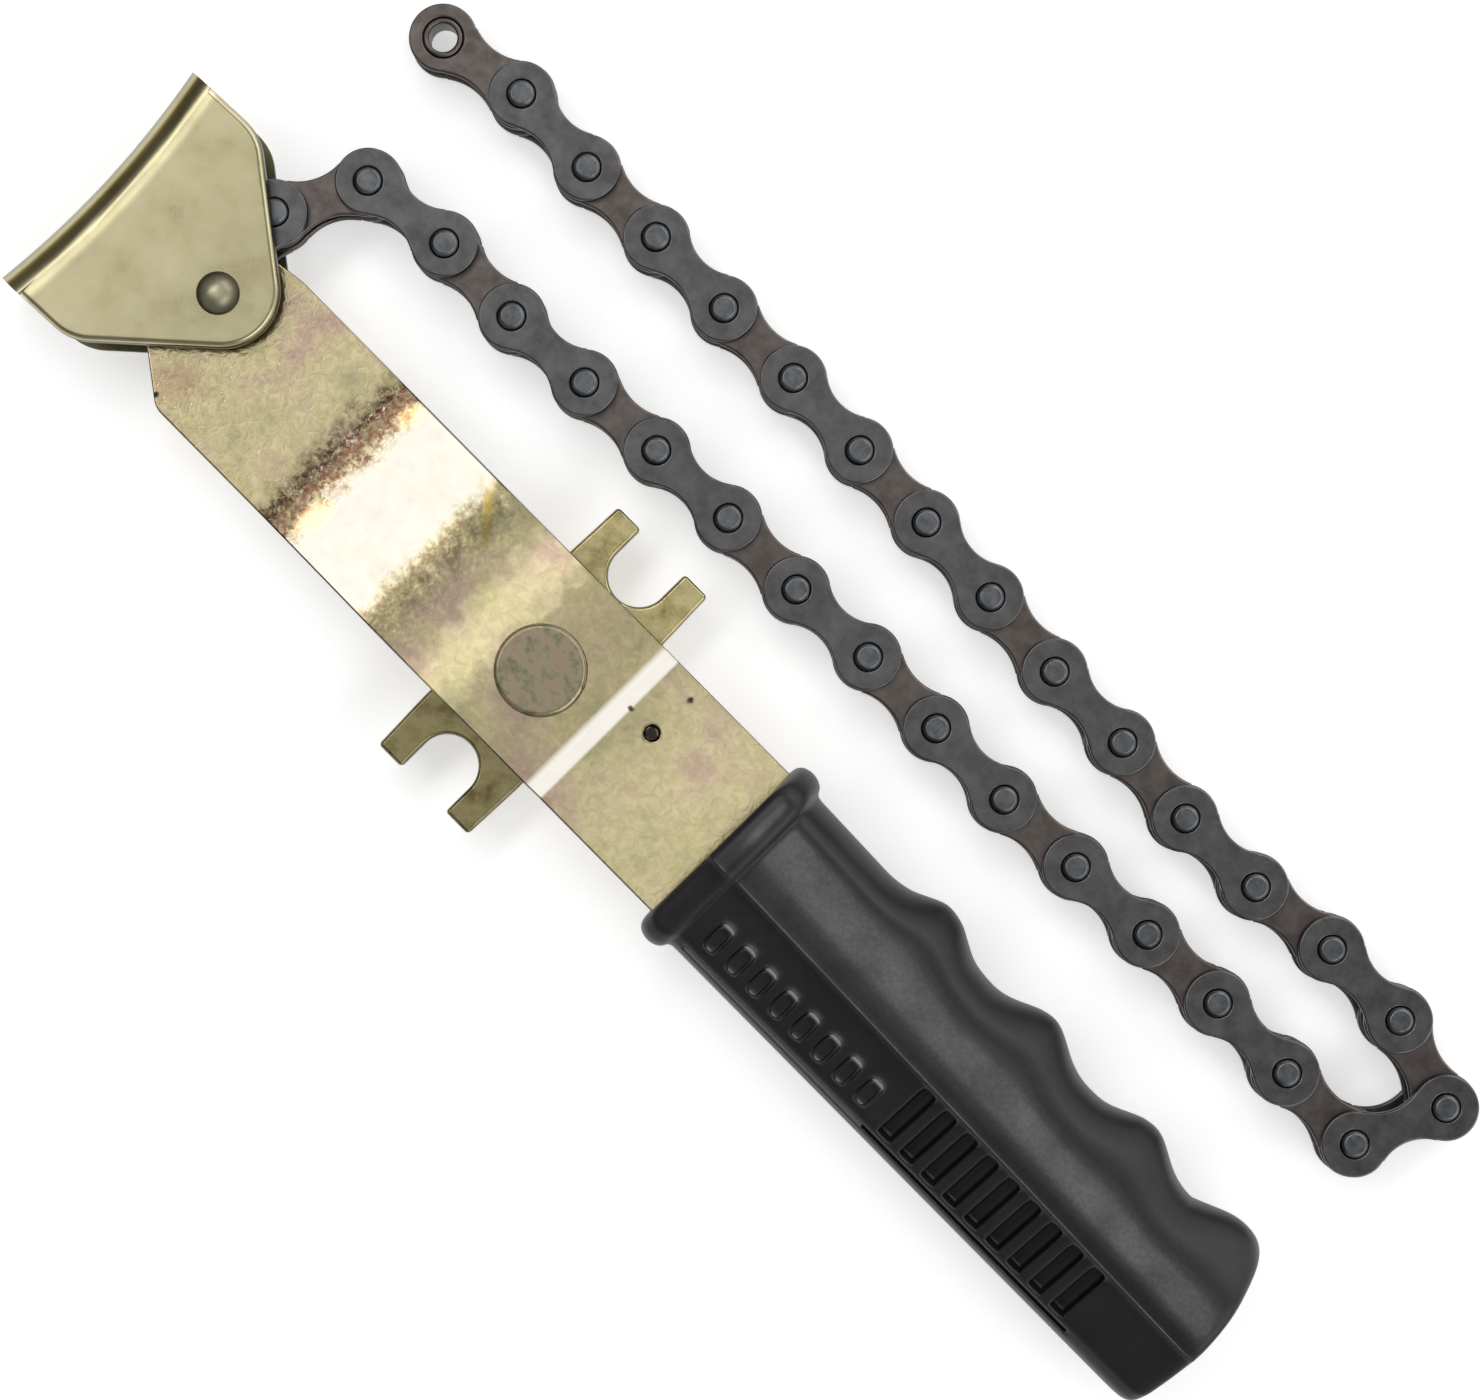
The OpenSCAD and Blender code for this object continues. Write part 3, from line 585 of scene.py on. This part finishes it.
def grip_stations():
    """Places along the grip where its section is set, with the section's scale: mouth, bead, panel marks, end."""
    half = COLLAR_LEN / 2
    mouth = [(1, 0.8), (0.1, 0.82), (0, 0.88)]
    bead = [(x, 1 + COLLAR_RISE / HALF_T * (1 - ((x - half) / half) ** 2) ** 0.5)
            for x in (0, 0.25, 0.9, half, COLLAR_LEN - 0.9, COLLAR_LEN - 0.25, COLLAR_LEN)]
    marks = [BLOCK_FROM + PANEL_PITCH * i + d for i in range(BLOCKS) for d in (0, BLOCK_LEN)]
    marks += [RIB_FROM + PANEL_PITCH * i + d for i in range(RIBS) for d in (0, RIB_LEN)]
    body = [(x, 1) for x in [PANEL_FROM, *marks, PANEL_TO, *PLAIN_AT, GRIP_LEN - END_LEN]]
    end = [(GRIP_LEN - END_LEN * a, scale)
           for a, scale in ((0.45, 0.99), (0.16, 0.965), (0.03, 0.92), (0, 0.86), (0, 0.5))]
    return mouth + bead + body + end


def grip_place(x, scale, y, z):
    """Where a point of the section lies; the last part of the grip is bowed in plan."""
    bow = max(0, 1 - (GRIP_LEN - x) / (5 * END_LEN)) ** 2
    y, z = y * scale, z * scale
    drawn_back = bow * (y + END_Y) ** 2 / (2 * END_R)
    return Vector((grip_low.x + x - drawn_back, BAR_MID + y, (grip_low.z + grip_high.z) / 2 + z)) * MM


def mould_grip(finish):
    """Draws the section out along the handle, then sinks the grooves and raises the blocks on both faces."""
    bm = bmesh.new()
    crease = bm.edges.layers.float.new("crease_edge")
    stations = grip_stations()
    rings = []
    for x, scale in stations:
        upper = grip_section(x)
        loop = upper + [(y, -z) for y, z in upper[-2:0:-1]]
        if rings:
            last = rings[-1]
            rim = [bm.edges.get((last[i], last[i - 1])) for i in range(len(last))]
            made = bmesh.ops.extrude_edge_only(bm, edges=rim)["geom"]
            drawn = {v for v in made if isinstance(v, bmesh.types.BMVert)}
            ring = [next(e.other_vert(v) for e in v.link_edges if e.other_vert(v) in drawn) for v in last]
        else:
            ring = bmesh.ops.create_circle(bm, segments=len(loop), radius=MM)["verts"]
        for vert, (y, z) in zip(ring, loop):
            vert.co = grip_place(x, scale, y, z)
        rings.append(ring)
    around = len(rings[0])
    for ring in (rings[0], rings[-1]):
        bmesh.ops.contextual_create(bm, geom=[bm.edges.get((ring[i], ring[i - 1])) for i in range(around)])
    bmesh.ops.recalc_face_normals(bm, faces=bm.faces)

    xs = [round(x, 3) for x, scale in stations]
    pressed = set()

    def patch(x_from, x_to, column, end_column, face):
        """The faces between two stations and two columns of the section, on the front (0) or back (1)."""
        rows = range(xs.index(round(x_from, 3)), xs.index(round(x_to, 3)))
        columns = [j if face == 0 else around - 1 - j for j in range(column, end_column)]
        return [f for i in rows for j in columns for f in rings[i][j].link_faces
                if rings[i][(j + 1) % around] in f.verts and rings[i + 1][j] in f.verts]

    def press(faces, steps):
        """Insets a patch step by step, each a width and a rise, and notes the edges that stay crisp."""
        for width, rise in steps:
            wall = bmesh.ops.inset_region(
                bm, faces=faces, thickness=width * MM, depth=rise * MM, use_even_offset=True, use_boundary=True
            )
            if rise:
                pressed.update(e for f in wall["faces"] for e in f.edges)

    for face in (0, 1):
        press(patch(PANEL_FROM, PANEL_TO, GROOVE_COL, GROOVE_COL + 1, face), GROOVE_PRESS)
        for i in range(BLOCKS):
            x = BLOCK_FROM + PANEL_PITCH * i
            block = patch(x, x + BLOCK_LEN, BLOCK_COL, BLOCK_COL + 1, face)
            press(block, BLOCK_PRESS)
        for i in range(RIBS - 1):
            x = RIB_FROM + PANEL_PITCH * i + RIB_LEN
            gap = patch(x, x + PANEL_PITCH - RIB_LEN, PANEL_COL, PANEL_END_COL, face)
            press(gap, GAP_PRESS)
    for edge in pressed:
        if edge.is_valid and edge.is_manifold and edge.calc_face_angle() > radians(25):
            edge[crease] = PRESS_CREASE
    for j in (RIDGE_COL, RIDGE_COL + 1):
        for near, far in zip(rings, rings[1:]):
            for column in (j, around - j):
                bm.edges.get((near[column], far[column]))[crease] = RIDGE_CREASE
    grip = piece_from(bm, "grip_moulded", "lever", finish)
    smooth = grip.modifiers.new("moulded rounds", "SUBSURF")
    smooth.levels = smooth.render_levels = 2
    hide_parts("grip")


place_camera()
light_studio()
lay_floor()

bar_zinc = plated_bar_finish()
# The last tone list of each sheet finish is painted shade on steep edges and a painted highlight on their rounds
jaw_zinc = plated_sheet_finish(
    "yellow_passivated_zinc_sheet", ["#a29a78", "#aea785", "#b5ae8d"], 9,
    [(0.2, 0.12), (0.42, 0.4), (0.55, 1.3), (0.9, 1.35), (0.97, 0.95), (0.999, 1.05)], 0.22, 0.36, fold=True
)
catch_zinc = plated_sheet_finish(
    "yellow_passivated_zinc_plate", ["#80744f", "#a3976b", "#b3a97d", "#ad9a6c"], 4,
    [(0.2, 0.15), (0.45, 0.5), (0.75, 1.5), (0.95, 1.3), (0.99, 1.1)], 0.2, 0.36, low_side=0.5
)
catch_steel = plated_sheet_finish(
    "mottled_zinc_rivet_steel", ["#7a765e", "#8a846a", "#989078", "#a08c76", "#8e8770"], 1.7,
    [(0.15, 0.15), (0.4, 0.9), (0.7, 1.9), (0.93, 1.6), (0.985, 1.0)], 0.3, 0.5
)
rivet_steel = plated_sheet_finish(
    "zinc_plated_rivet_steel", ["#98917a", "#bdb79c"], 7,
    [(0.3, 0.15), (0.7, 0.45), (0.9, 0.95), (0.97, 1.1)], 0.34, 0.5
)
outer_black = black_steel_finish("black_oxide_outer_plate", "#706f70", "#5a5859", 3)
inner_black = black_steel_finish("black_oxide_inner_plate", "#746d69", "#5c5551", 2.4)
pin_black = black_steel_finish("black_oxide_pin", "#76797c", "#5c5e5f", 1.2)

edged("lever_bar", "lever_bar_plated", bar_zinc, 0.5, gap=0.06, crisp=12)
rimmed_jaw(jaw_zinc)
edged("catch_plate", "catch_plate_plated", catch_zinc, 0.5)
edged("catch_rivet", "catch_rivet_set", catch_steel, 0.55)
edged("head_rivet", "head_rivet_set", rivet_steel, 0.2)
for n in range(1, LINK_PAIRS + 1):
    edged(f"outer_plates_{n}", f"outer_plates_black_{n}", outer_black, 0.45)
    edged(f"link_pins_{n}", f"link_pins_black_{n}", pin_black, 0.15, 30, 2)
    edged(f"inner_link_{n}", f"inner_link_black_{n}", inner_black, 0.35, 40, 2)

mould_grip(moulded_rubber_finish())

bpy.context.scene.view_settings.view_transform = "Standard"
